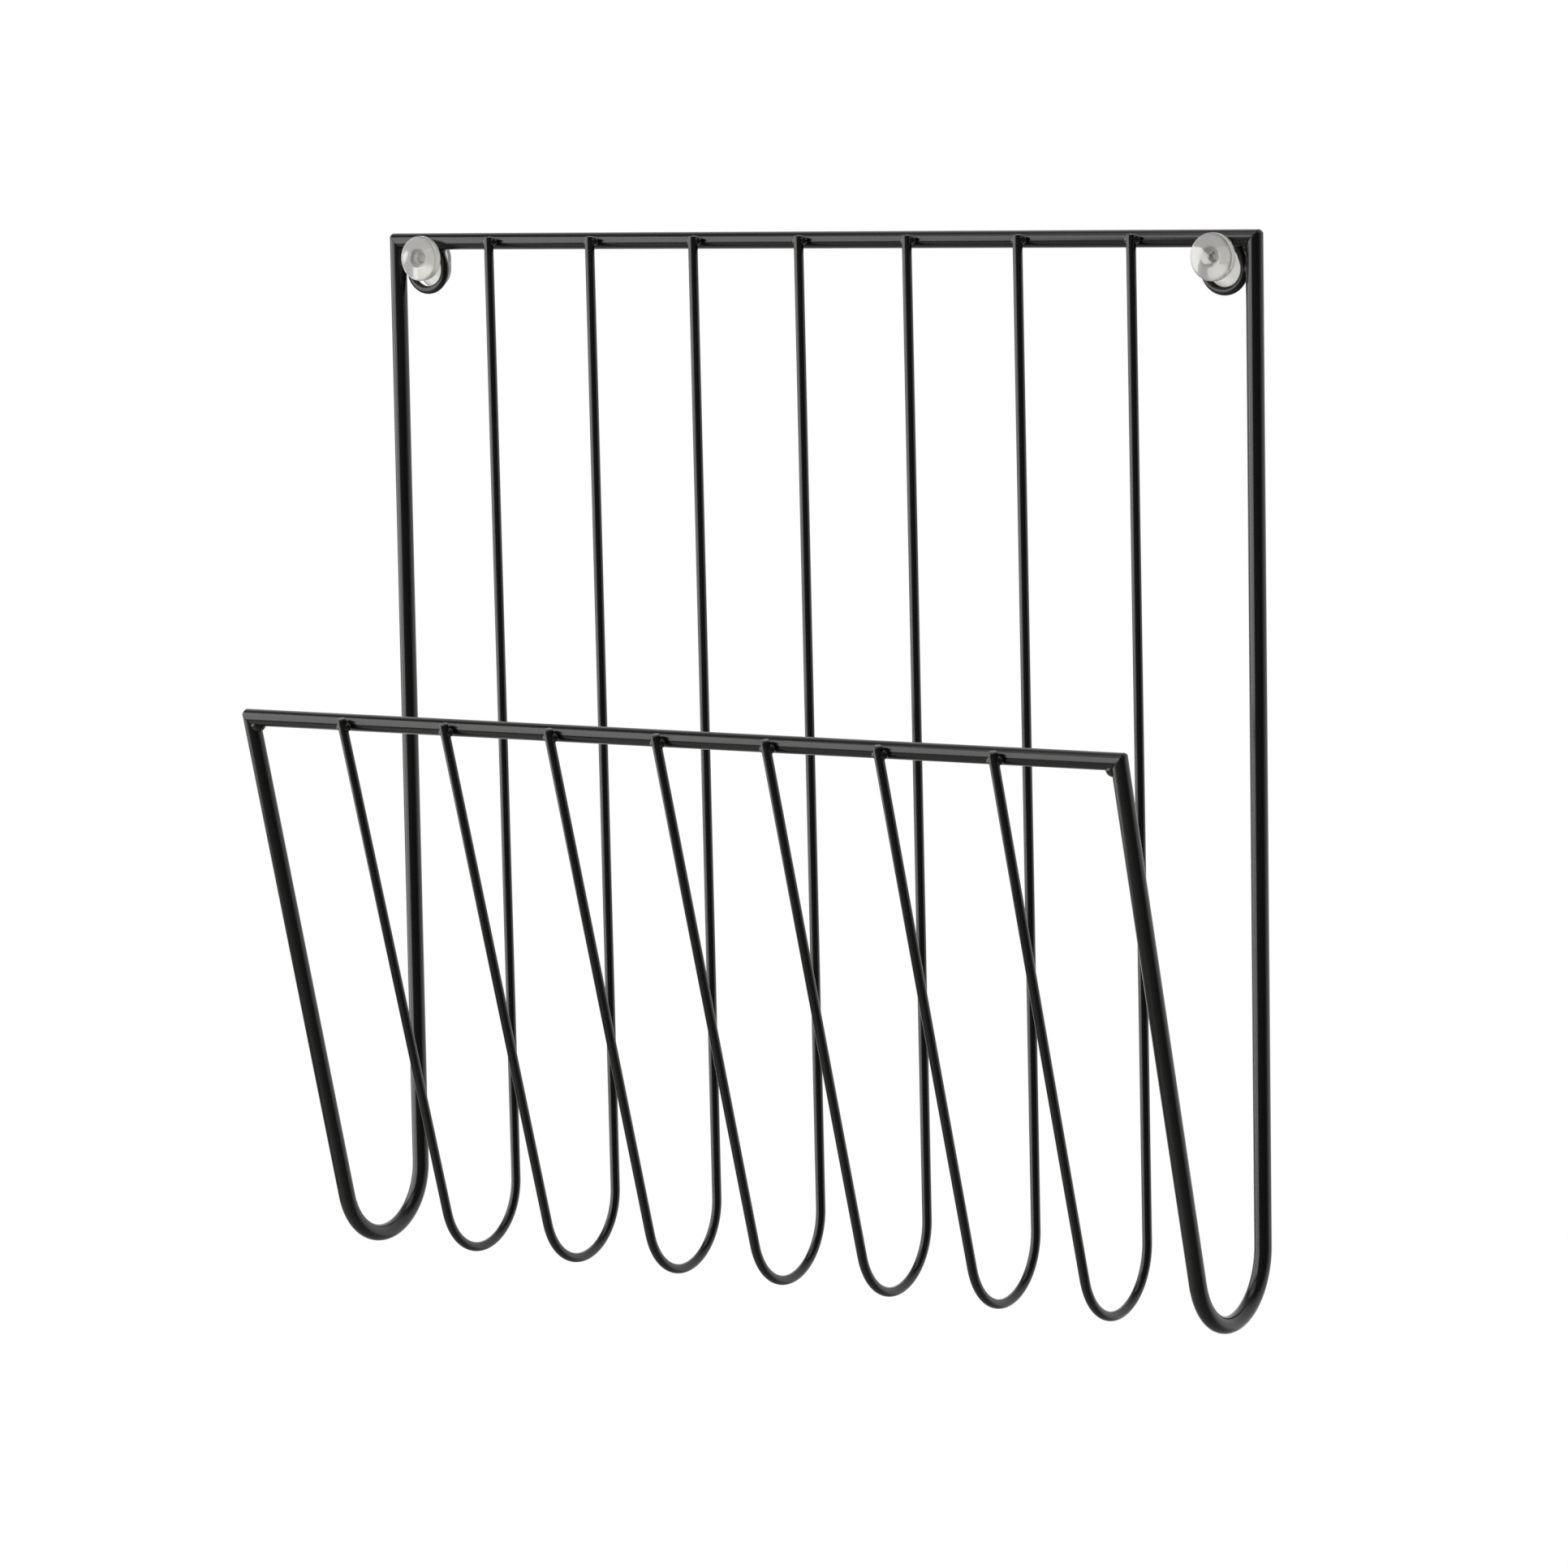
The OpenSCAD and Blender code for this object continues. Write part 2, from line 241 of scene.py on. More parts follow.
class StageSettings(bpy.types.PropertyGroup):
    """Floor, lights and camera."""

    floor_height: FloatProperty(
        name="Floor height", description="Height of the floor, counted from the screw holes",
        default=-1.5, unit="LENGTH")
    floor_half_width: FloatProperty(
        name="Floor half width", description="Half the width of the floor",
        default=6, unit="LENGTH")
    floor_colour: FloatVectorProperty(
        name="Floor", description="Colour of the pale floor", default=(0.5, 0.5, 0.49), subtype="COLOR")
    floor_glow: FloatProperty(
        name="Floor glow", description="Share of plain white in the floor under the rack",
        default=0.5, min=0, max=1, subtype="FACTOR")
    floor_fade_start: FloatProperty(
        name="Fade start", description="Distance at which the floor starts to turn white",
        default=1.2, unit="LENGTH")
    floor_fade_end: FloatProperty(
        name="Fade end", description="Distance at which the floor is plain white",
        default=2.6, unit="LENGTH")
    ambient: FloatProperty(
        name="Ambient", description="Strength of the room's light on the object", default=0.15, min=0)
    room_shade: FloatProperty(
        name="Room shade", description="Brightness of the room behind the camera in reflections",
        default=0.08, min=0)
    light_distance: FloatProperty(
        name="Light distance", description="Distance of the soft boxes from the rack",
        default=2, unit="LENGTH")
    key_azimuth: FloatProperty(
        name="Key azimuth", description="Turn of the key light round the rack, from straight ahead",
        default=math.radians(-55), subtype="ANGLE")
    key_elevation: FloatProperty(
        name="Key elevation", description="Height of the key light above the horizon",
        default=math.radians(12), subtype="ANGLE")
    key_size: FloatVectorProperty(
        name="Key size", description="Width and height of the key light's soft box",
        size=2, default=(3.0, 2.6), subtype="XYZ")
    key_power: FloatProperty(
        name="Key power", description="Power of the key light", default=70, unit="POWER")
    top_azimuth: FloatProperty(
        name="Top azimuth", description="Turn of the top light round the rack, from straight ahead",
        default=math.radians(-20), subtype="ANGLE")
    top_elevation: FloatProperty(
        name="Top elevation", description="Height of the top light above the horizon",
        default=math.radians(68), subtype="ANGLE")
    top_size: FloatVectorProperty(
        name="Top size", description="Width and depth of the top light's soft box",
        size=2, default=(1.5, 1.2), subtype="XYZ")
    top_power: FloatProperty(
        name="Top power", description="Power of the top light", default=7, unit="POWER")
    camera_place: FloatVectorProperty(
        name="Camera", description="Place of the camera", default=(1.1261, -1.7452, 0.0490), subtype="XYZ")
    camera_yaw: FloatProperty(
        name="Camera yaw", description="Turn of the camera about the upright axis",
        default=math.radians(33.218), subtype="ANGLE")
    camera_pitch: FloatProperty(
        name="Camera pitch", description="Tilt of the camera above the horizon",
        default=math.radians(-6.422), subtype="ANGLE")
    camera_roll: FloatProperty(
        name="Camera roll", description="Clockwise turn of the camera about its line of sight",
        default=math.radians(1.006), subtype="ANGLE")
    camera_lens: FloatProperty(
        name="Camera lens", description="Focal length on a 36 mm wide sensor", default=136.25)


class Shade:
    """One socket of a node tree; arithmetic on it adds the Math nodes that work it out."""

    def __init__(self, nodes, socket):
        self.nodes = nodes
        self.socket = socket

    def output(self, name):
        """Another output of the same node."""
        return Shade(self.nodes, self.socket.node.outputs[name])

    def _math(self, operation, first, second):
        return self.nodes.add("ShaderNodeMath", {"operation": operation}, {0: first, 1: second})

    def __add__(self, other):
        return self._math("ADD", self, other)

    def __sub__(self, other):
        return self._math("SUBTRACT", self, other)

    def __mul__(self, other):
        return self._math("MULTIPLY", self, other)

    def __rsub__(self, other):
        return self._math("SUBTRACT", other, self)

    def at_most_one(self):
        """The value, or 1 where it is more."""
        return self._math("MINIMUM", self, 1.0)

    __radd__ = __add__
    __rmul__ = __mul__


class NodeTree:
    """A shader tree whose nodes come from one method."""

    def __init__(self, owner):
        owner.use_nodes = True
        self.tree = owner.node_tree
        self.tree.nodes.clear()

    def add(self, kind, settings=None, values=None, out=0):
        """Adds a node, sets it and its sockets, and gives one of its outputs."""
        node = self.tree.nodes.new(kind)
        for name, setting in (settings or {}).items():
            setattr(node, name, setting)
        for name, value in (values or {}).items():
            if isinstance(value, Shade):
                self.tree.links.new(value.socket, node.inputs[name])
            else:
                node.inputs[name].default_value = value
        return Shade(self, node.outputs[out]) if node.outputs else None

    def noise(self, place, size, detail):
        """Noise of a given feature size, from 0 to 1."""
        return self.add("ShaderNodeTexNoise", None, {"Vector": place, "Scale": 1 / size, "Detail": detail})

    def mix_colours(self, factor, first, second):
        """Blend of two colours; a Mix node's sockets share names, so they are found by number."""
        values = {0: factor, MIX_FIRST_COLOUR: (*first, 1), MIX_SECOND_COLOUR: (*second, 1)}
        return self.add("ShaderNodeMix", {"data_type": "RGBA"}, values, out=MIX_COLOUR_RESULT)

    def ramp(self, value, start, end, low, high):
        """Smooth change from a low to a high number as a value goes from start to end."""
        return self.add("ShaderNodeMapRange", {"interpolation_type": "SMOOTHSTEP"}, {
            "Value": value, "From Min": start, "From Max": end, "To Min": low, "To Max": high})


def slot_material(slot):
    """The material for a slot, made on its first use."""
    name, make = {
        COAT_SLOT: ("Powder_coat", powder_coat),
        PLASTIC_SLOT: ("Clear_moulding", clear_plastic),
    }[slot]
    material = bpy.data.materials.get(name)
    if material is None:
        material = bpy.data.materials.new(name)
        make(NodeTree(material), bpy.context.scene.rack_finishes)
    return material


def powder_coat(nodes, finish):
    """Black semi-gloss powder coat: orange peel in the surface, slow drift in tone and gloss."""
    tone_swing = 0.9
    drift_detail = 3.0
    drift_gloss_swing = 0.08
    peel_detail = 1.5
    peel_gloss_swing = 0.03
    place = nodes.add("ShaderNodeTexCoord", out="Object")
    drift = nodes.noise(place, finish.drift_size, drift_detail)
    peel = nodes.noise(place, finish.peel_size, peel_detail)
    bump = nodes.add("ShaderNodeBump", None, {
        "Strength": 1.0, "Distance": finish.peel_depth, "Height": peel})
    drift_gloss = (drift - NOISE_MIDDLE) * drift_gloss_swing
    peel_gloss = (peel - NOISE_MIDDLE) * peel_gloss_swing
    surface = nodes.add("ShaderNodeBsdfPrincipled", None, {
        "Base Color": nodes.mix_colours(drift * tone_swing, finish.coat_colour, finish.coat_drift_colour),
        "Roughness": finish.coat_roughness + drift_gloss + peel_gloss,
        "Normal": bump,
    })
    nodes.add("ShaderNodeOutputMaterial", None, {"Surface": surface})


def clear_plastic(nodes, finish):
    """Clear moulded plastic, a little cloudy, with faint flow marks."""
    flow_size = 4 * MM
    flow_depth = 0.006 * MM
    flow_detail = 2.0
    gloss_swing = 0.04
    refraction = 1.49
    place = nodes.add("ShaderNodeTexCoord", out="Object")
    flow = nodes.noise(place, flow_size, flow_detail)
    bump = nodes.add("ShaderNodeBump", None, {"Strength": 1.0, "Distance": flow_depth, "Height": flow})
    surface = nodes.add("ShaderNodeBsdfPrincipled", None, {
        "Base Color": (*finish.plastic_colour, 1),
        "Roughness": finish.plastic_roughness + (flow - NOISE_MIDDLE) * gloss_swing,
        "IOR": refraction,
        "Transmission Weight": finish.plastic_clearness,
        "Normal": bump,
    })
    nodes.add("ShaderNodeOutputMaterial", None, {"Surface": surface})


def only(kind, parts):
    """The vertices, edges or faces among some parts of a mesh."""
    return [part for part in parts if isinstance(part, kind)]


def ring_verts(ring):
    """Vertices of a ring of edges."""
    return list({vert for edge in ring for vert in edge.verts})


def start_ring(mesh, place, direction, radius, sides):
    """Circle of edges that a bar grows from, square to its direction."""
    turn = UP.rotation_difference(direction).to_matrix().to_4x4()
    made = bmesh.ops.create_circle(
        mesh, cap_ends=False, radius=radius, segments=sides, matrix=Matrix.Translation(place) @ turn)
    return list({edge for vert in made["verts"] for edge in vert.link_edges})


def run_straight(mesh, ring, step):
    """Grows a bar straight on from a ring, and gives its new end."""
    grown = bmesh.ops.extrude_edge_only(mesh, edges=ring)["geom"]
    verts = only(bmesh.types.BMVert, grown)
    bmesh.ops.translate(mesh, verts=verts, vec=step)
    fresh = set(verts)
    return [edge for edge in only(bmesh.types.BMEdge, grown) if fresh.issuperset(edge.verts)]


def run_bend(mesh, ring, centre, axis, angle, steps):
    """Grows a bar round a bend from a ring, and gives its new end."""
    spun = bmesh.ops.spin(
        mesh, geom=ring_verts(ring) + ring, cent=centre, axis=axis, angle=angle, steps=steps,
        use_duplicate=False)
    return only(bmesh.types.BMEdge, spun["geom_last"])


def round_edges(mesh, edges, rounding, segments=EDGE_SEGMENTS):
    """Rounds some edges of a mesh."""
    bmesh.ops.bevel(
        mesh, geom=edges, offset=rounding, offset_type="OFFSET", affect="EDGES",
        segments=segments, profile=0.5, material=-1)


def close_ends(mesh, rings, rounding):
    """Closes a bar's open ends and rounds their rims."""
    for ring in rings:
        bmesh.ops.edgeloop_fill(mesh, edges=ring)
    round_edges(mesh, [edge for ring in rings for edge in ring], rounding)


def parts_at(verts):
    """Faces at some vertices, with their edges and vertices."""
    faces = {face for vert in verts for face in vert.link_faces}
    edges = {edge for face in faces for edge in face.edges}
    corners = {vert for face in faces for vert in face.verts}
    return [*corners, *edges, *faces]


def cut(mesh, parts, place, outward, clear=True):
    """Cuts parts of a mesh along a plane, and clears what lies beyond it unless told not to."""
    return bmesh.ops.bisect_plane(
        mesh, geom=parts, dist=CUT_TOLERANCE, plane_co=place, plane_no=outward, clear_outer=clear)


def mitre_end(mesh, ring, corner, along, across, sizes):
    """Mitres the run that ends in a ring, rounds the corner's outer tip, and gives the new end."""
    radius = sizes.rod_diameter / 2
    quarter_turn = sizes.rod_sides // 4
    parts = parts_at(ring_verts(ring))
    for step in range(quarter_turn - 1, 0, -1):
        reach = radius * math.cos(step * 2 * math.pi / sizes.rod_sides)
        parts = cut(mesh, parts, corner + along * reach, along, clear=False)["geom"]
    end = cut(mesh, parts, corner, along - across)["geom_cut"]
    tip = radius * math.sqrt(2)
    corner_reach = 2 * tip
    ball = tip - sizes.tip_cut
    for vert in mesh.verts:
        arm = vert.co - corner
        outside = arm.dot(along) > 0 and arm.dot(across) > 0
        if outside and ball < arm.length < corner_reach:
            vert.co = corner + arm.normalized() * ball
    return only(bmesh.types.BMEdge, end)


def add_bead(mesh, place, radius, half_length=None):
    """Lump of weld metal under the coat, which may be longer to the sides than it is high."""
    stretch = (half_length or radius) / radius
    matrix = Matrix.Translation(place) @ Matrix.Scale(stretch, 4, RIGHT)
    made = bmesh.ops.create_uvsphere(
        mesh, u_segments=BEAD_TURNS, v_segments=BEAD_RINGS, radius=radius, matrix=matrix)
    return made["verts"]


def finish_piece(mesh, name, body, slot, replaced):
    """Turns a mesh into a piece that rides on a body and stands for its nodes."""
    bmesh.ops.recalc_face_normals(mesh, faces=mesh.faces[:])
    data = bpy.data.meshes.new(name)
    mesh.to_mesh(data)
    mesh.free()
    data.shade_smooth()
    data.set_sharp_from_angle(angle=SHARP_ANGLE)
    data.materials.append(slot_material(slot))
    piece = bpy.data.objects.new(name, data)
    bpy.context.scene.collection.objects.link(piece)
    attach(piece, body)
    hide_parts(*replaced)


def leaning(lean):
    """Direction up along a leg that leans away from the wall."""
    return Vector((0, -math.sin(lean), math.cos(lean)))


def bend_centre(sizes, x, bend_radius, diameter):
    """Centre of a bar's bend; all bends lie level underneath and round one line in depth."""
    return Vector((x, TOP_RAIL.y - sizes.bend_radius, LOWEST + diameter / 2 + bend_radius))


def bent_bar(mesh, bend, bend_radius, legs, radius, sides, steps):
    """Bar bent round a centre, whose back leg and front leg have a lean and a length; gives both ends."""
    (back_lean, back_length), (front_lean, front_length) = legs
    back = leaning(back_lean)
    foot = bend - bend_radius * RIGHT.cross(back)
    first = start_ring(mesh, foot + back * back_length, -back, radius, sides)
    ring = run_straight(mesh, first, -back * back_length)
    ring = run_bend(mesh, ring, bend, -RIGHT, math.pi + back_lean - front_lean, steps)
    last = run_straight(mesh, ring, leaning(front_lean) * front_length)
    return first, last


def wire_offset(sizes):
    """Distance from a rail's centreline to the wires'."""
    return (sizes.rod_diameter + sizes.wire_diameter) / 2 + sizes.weld_gap


def wire_bend_radius(sizes):
    """Bend radius of the wires, round the same former as the side rods."""
    return sizes.bend_radius - (sizes.rod_diameter - sizes.wire_diameter) / 2


def wire_legs(sizes):
    """Lean of the wires' back and front legs along the rails' outer faces, and length up to the rails."""
    radius = wire_bend_radius(sizes)
    bend = bend_centre(sizes, 0, radius, sizes.wire_diameter)
    legs = []
    for rail, bend_side in ((TOP_RAIL, -1), (FRONT_RAIL, 1)):
        run = rail - bend
        aside = bend_side * radius - wire_offset(sizes)
        lean = math.atan2(-run.y, run.z) - math.asin(aside / run.length)
        legs.append((lean, run.dot(leaning(lean))))
    return legs


class RACK_OT_side_rods(bpy.types.Operator):
    """Bent rod at each side, mitred to the rails"""

    bl_idname = "rack.side_rods"
    bl_label = "Side rods"

    def execute(self, context):
        sizes = context.scene.rack_sizes
        radius = sizes.rod_diameter / 2
        spare = sizes.rod_diameter
        lean = leaning(sizes.front_lean)
        for name, side in SIDES.items():
            mesh = bmesh.new()
            x = side * ROD_X
            top = Vector((x, TOP_RAIL.y, TOP_RAIL.z))
            front = Vector((x, FRONT_RAIL.y, FRONT_RAIL.z))
            bend = bend_centre(sizes, x, sizes.bend_radius, sizes.rod_diameter)
            legs = (0, top.z - bend.z + spare), (sizes.front_lean, (front - bend).dot(lean) + spare)
            first, last = bent_bar(
                mesh, bend, sizes.bend_radius, legs, radius, sizes.rod_sides, sizes.bend_steps)
            ends = [
                mitre_end(mesh, first, top, UP, side * RIGHT, sizes),
                mitre_end(mesh, last, front, lean, side * RIGHT, sizes),
            ]
            close_ends(mesh, ends, sizes.seam_rounding)
            finish_piece(mesh, f"Side_rod_{name}", RACK_BODY, COAT_SLOT, [f"{name}_side_rod"])
        return {"FINISHED"}


class RACK_OT_rails(bpy.types.Operator):
    """Straight rails across the top and the pocket's front"""

    bl_idname = "rack.rails"
    bl_label = "Rails"

    def execute(self, context):
        sizes = context.scene.rack_sizes
        rails = {"top": (TOP_RAIL, UP), "front": (FRONT_RAIL, leaning(sizes.front_lean))}
        spare = RIGHT * sizes.rod_diameter
        for name, (middle, rod_direction) in rails.items():
            mesh = bmesh.new()
            left = middle - RIGHT * ROD_X
            right = middle + RIGHT * ROD_X
            first = start_ring(mesh, left - spare, RIGHT, sizes.rod_diameter / 2, sizes.rod_sides)
            last = run_straight(mesh, first, right - left + 2 * spare)
            left_end = mitre_end(mesh, first, left, -RIGHT, rod_direction, sizes)
            right_end = mitre_end(mesh, last, right, RIGHT, rod_direction, sizes)
            close_ends(mesh, [left_end, right_end], sizes.seam_rounding)
            finish_piece(mesh, f"Rail_{name}", RACK_BODY, COAT_SLOT, [f"{name}_rail"])
        return {"FINISHED"}


class RACK_OT_wires(bpy.types.Operator):
    """Thin bent wires of the pocket, on the outer face of both rails"""

    bl_idname = "rack.wires"
    bl_label = "Pocket wires"

    def execute(self, context):
        sizes = context.scene.rack_sizes
        bend_radius = wire_bend_radius(sizes)
        (back_lean, back_length), (front_lean, front_length) = wire_legs(sizes)
        legs = (back_lean, back_length + sizes.top_reach), (front_lean, front_length + sizes.front_reach)
        for node in WIRES:
            mesh = bmesh.new()
            bend = bend_centre(sizes, node_centre(node).x, bend_radius, sizes.wire_diameter)
            ends = bent_bar(
                mesh, bend, bend_radius, legs, sizes.wire_diameter / 2, sizes.wire_sides, sizes.bend_steps)
            close_ends(mesh, ends, sizes.end_rounding)
            finish_piece(mesh, node.capitalize(), RACK_BODY, COAT_SLOT, [node])
        return {"FINISHED"}


def eye_centre(sizes, side):
    """Middle of an eye's bend, flush with the back of the frame."""
    back = (sizes.rod_diameter - sizes.eye_diameter) / 2
    return Vector((side * EYE_X, TOP_RAIL.y + back, TOP_RAIL.z - sizes.eye_drop))


def leg_direction(sizes, leg_side):
    """Direction of an eye's leg, upwards; the legs lean towards each other."""
    return Vector((-leg_side * math.sin(sizes.eye_splay), 0, math.cos(sizes.eye_splay)))


def leg_foot(sizes, centre, leg_side):
    """Point where an eye's leg leaves its bend."""
    out = Vector((leg_side * math.cos(sizes.eye_splay), 0, math.sin(sizes.eye_splay)))
    return centre + sizes.eye_radius * out


class RACK_OT_hanging_eyes(bpy.types.Operator):
    """Wire eye in each top corner"""

    bl_idname = "rack.hanging_eyes"
    bl_label = "Hanging eyes"

    def execute(self, context):
        sizes = context.scene.rack_sizes
        radius = sizes.eye_diameter / 2
        for name, side in SIDES.items():
            mesh = bmesh.new()
            centre = eye_centre(sizes, side)
            foot = leg_foot(sizes, centre, -1)
            rise = leg_direction(sizes, -1) * ((TOP_RAIL.z - radius - foot.z) / math.cos(sizes.eye_splay))
            first = start_ring(mesh, foot + rise, -rise, radius, sizes.wire_sides)
            ring = run_straight(mesh, first, -rise)
            ring = run_bend(mesh, ring, centre, -TO_WALL, math.pi + 2 * sizes.eye_splay, sizes.bend_steps)
            last = run_straight(mesh, ring, leg_direction(sizes, 1) * rise.length)
            close_ends(mesh, [first, last], sizes.end_rounding)
            finish_piece(mesh, f"Hanging_eye_{name}", RACK_BODY, COAT_SLOT, [f"{name}_hanging_eye"])
        return {"FINISHED"}


class RACK_OT_welds(bpy.types.Operator):
    """Weld beads at the crossings, in the corners and at the eyes"""

    bl_idname = "rack.welds"
    bl_label = "Welds"

    def crossing_beads(self, sizes, rail, lean, node):
        """Beads between a rail and the wires that cross it, just behind the wires' front."""
        mesh = bmesh.new()
        outward = RIGHT.cross(leaning(lean))
        past_centreline = sizes.wire_diameter / 3
        bead_front = wire_offset(sizes) + past_centreline
        for wire in WIRES:
            place = rail + outward * (bead_front - sizes.bead_radius)
            place.x = node_centre(wire).x
            add_bead(mesh, place, sizes.bead_radius, sizes.bead_half_length)
        finish_piece(mesh, node.capitalize(), RACK_BODY, COAT_SLOT, [node])

    def corner_beads(self, sizes):
        """Beads in the crooks of the four mitred corners."""
        mesh = bmesh.new()
        corners = (
            (TOP_RAIL, UP, sizes.top_corner_radius, sizes.rod_diameter / 2),
            (FRONT_RAIL, leaning(sizes.front_lean), sizes.front_corner_radius, sizes.front_corner_depth),
        )
        for side in SIDES.values():
            for rail, rod_direction, radius, depth in corners:
                add_bead(mesh, rail + RIGHT * side * (ROD_X - depth) - rod_direction * depth, radius)
        finish_piece(mesh, "Corner_welds", RACK_BODY, COAT_SLOT, ["corner_welds"])

    def eye_beads(self, sizes):
        """Collars on the eyes' legs and a bead between each eye and its rod."""
        mesh = bmesh.new()
        radius = sizes.rod_diameter / 2
        for side in SIDES.values():
            centre = eye_centre(sizes, side)
            for leg_side in SIDES.values():
                foot = leg_foot(sizes, centre, leg_side)
                rise = (TOP_RAIL.z - radius - foot.z) / math.cos(sizes.eye_splay)
                place = foot + leg_direction(sizes, leg_side) * rise
                self.flush_collar(mesh, place, sizes)
            rod = Vector((side * ROD_X, TOP_RAIL.y, centre.z))
            eye_side = centre + RIGHT * side * sizes.eye_radius
            reach = (eye_side - rod).normalized() * (radius + sizes.weld_gap / 2)
            add_bead(mesh, rod + reach, sizes.eye_bead_radius)
        finish_piece(mesh, "Eye_welds", RACK_BODY, COAT_SLOT, ["eye_welds"])

    def flush_collar(self, mesh, place, sizes):
        """Collar round a leg, dressed flush with the eye's back."""
        verts = add_bead(mesh, place, sizes.collar_radius)
        rim = cut(mesh, parts_at(verts), place + TO_WALL * sizes.eye_diameter / 2, TO_WALL)["geom_cut"]
        bmesh.ops.edgeloop_fill(mesh, edges=only(bmesh.types.BMEdge, rim))

    def execute(self, context):
        sizes = context.scene.rack_sizes
        (back_lean, _), (front_lean, _) = wire_legs(sizes)
        self.crossing_beads(sizes, TOP_RAIL, back_lean, "top_rail_welds")
        self.crossing_beads(sizes, FRONT_RAIL, front_lean, "front_rail_welds")
        self.corner_beads(sizes)
        self.eye_beads(sizes)
        return {"FINISHED"}


def round_rims(mesh, places, rounding, segments):
    """Rounds the turned rims that lie at some radii and depths."""
    near = 0.01 * MM
    rims = []
    for edge in mesh.edges:
        points = [(math.hypot(vert.co.x, vert.co.z), vert.co.y) for vert in edge.verts]
        for radius, depth in places:
            if all(abs(r - radius) < near and abs(y - depth) < near for r, y in points):
                rims.append(edge)
    round_edges(mesh, rims, rounding, segments)


class RACK_OT_wall_bushes(bpy.types.Operator):
    """Clear bush in each eye: neck, flange and countersunk screw hole"""

    bl_idname = "rack.wall_bushes"
    bl_label = "Wall bushes"

    def execute(self, context):
        fitting = context.scene.rack_fittings
        screw = fitting.screw_diameter / 2
        sink = fitting.sink_diameter / 2
        neck = fitting.neck_diameter / 2
        for name, side in SIDES.items():
            node = f"{name}_wall_bush"
            low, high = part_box(node)
            flange = (high.x - low.x) / 2
            front = low.y
            shoulder = front + fitting.flange_thickness
            outline = [
                (screw, high.y), (neck, high.y), (neck, shoulder), (flange, shoulder),
                (flange, front), (sink, front), (screw, front + sink - screw),
            ]
            mesh = bmesh.new()
            verts = [mesh.verts.new((radius, depth, 0)) for radius, depth in outline]
            edges = [mesh.edges.new((verts[i - 1], verts[i])) for i in range(len(verts))]
            bmesh.ops.spin(
                mesh, geom=verts + edges, cent=(0, 0, 0), axis=TO_WALL, angle=2 * math.pi,
                steps=fitting.turns, use_merge=True, use_duplicate=False)
            bmesh.ops.recalc_face_normals(mesh, faces=mesh.faces[:])
            small_rims = [(flange, shoulder), (sink, front), (neck, high.y)]
            round_rims(mesh, [(flange, front)], fitting.flange_rounding, RIM_SEGMENTS)
            round_rims(mesh, small_rims, fitting.edge_rounding, EDGE_SEGMENTS)
            bmesh.ops.translate(mesh, verts=mesh.verts[:], vec=RIGHT * side * BUSH_X)
            finish_piece(mesh, f"Wall_bush_{name}", WALL_BODY, PLASTIC_SLOT, [node])
        return {"FINISHED"}


class RACK_OT_spacer_plates(bpy.types.Operator):
    """Clear round-ended plate between each eye and the wall"""

    bl_idname = "rack.spacer_plates"
    bl_label = "Spacer plates"

    def execute(self, context):
        fitting = context.scene.rack_fittings
        half_turns = fitting.turns // 2
        for name, side in SIDES.items():
            node = f"{name}_spacer_plate"
            low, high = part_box(node)
            radius = (high.x - low.x) / 2
            middle = Vector((side * BUSH_X, low.y, 0))
            drop = UP * (low.z + radius)
            mesh = bmesh.new()
            start = mesh.verts.new(middle + RIGHT * radius)
            arc = bmesh.ops.spin(
                mesh, geom=[start], cent=middle, axis=-TO_WALL, angle=math.pi, steps=half_turns)
            corner = only(bmesh.types.BMVert, arc["geom_last"])
            side_run = bmesh.ops.extrude_vert_indiv(mesh, verts=corner)
            bmesh.ops.translate(mesh, verts=side_run["verts"], vec=drop)
            arc = bmesh.ops.spin(
                mesh, geom=side_run["verts"], cent=middle + drop, axis=-TO_WALL, angle=math.pi,
                steps=half_turns)
            mesh.edges.new((only(bmesh.types.BMVert, arc["geom_last"])[0], start))
            turn = Matrix.Rotation(math.pi / 2, 4, "X")
            bmesh.ops.create_circle(
                mesh, cap_ends=False, radius=fitting.bore_diameter / 2, segments=half_turns,
                matrix=Matrix.Translation(middle) @ turn)
            bmesh.ops.triangle_fill(mesh, use_beauty=True, edges=mesh.edges[:])
            grown = bmesh.ops.extrude_face_region(mesh, geom=mesh.faces[:])["geom"]
            bmesh.ops.translate(
                mesh, verts=only(bmesh.types.BMVert, grown), vec=TO_WALL * (high.y - low.y))
            bmesh.ops.recalc_face_normals(mesh, faces=mesh.faces[:])
            rims = [edge for edge in mesh.edges if edge.calc_face_angle(0) > SHARP_ANGLE]
            round_edges(mesh, rims, fitting.edge_rounding)
            finish_piece(mesh, f"Spacer_plate_{name}", WALL_BODY, PLASTIC_SLOT, [node])
        return {"FINISHED"}


def around(azimuth, elevation):
    """Direction from the rack, turned from straight ahead and raised above the horizon."""
    level = math.cos(elevation)
    return Vector((math.sin(azimuth) * level, -math.cos(azimuth) * level, math.sin(elevation)))


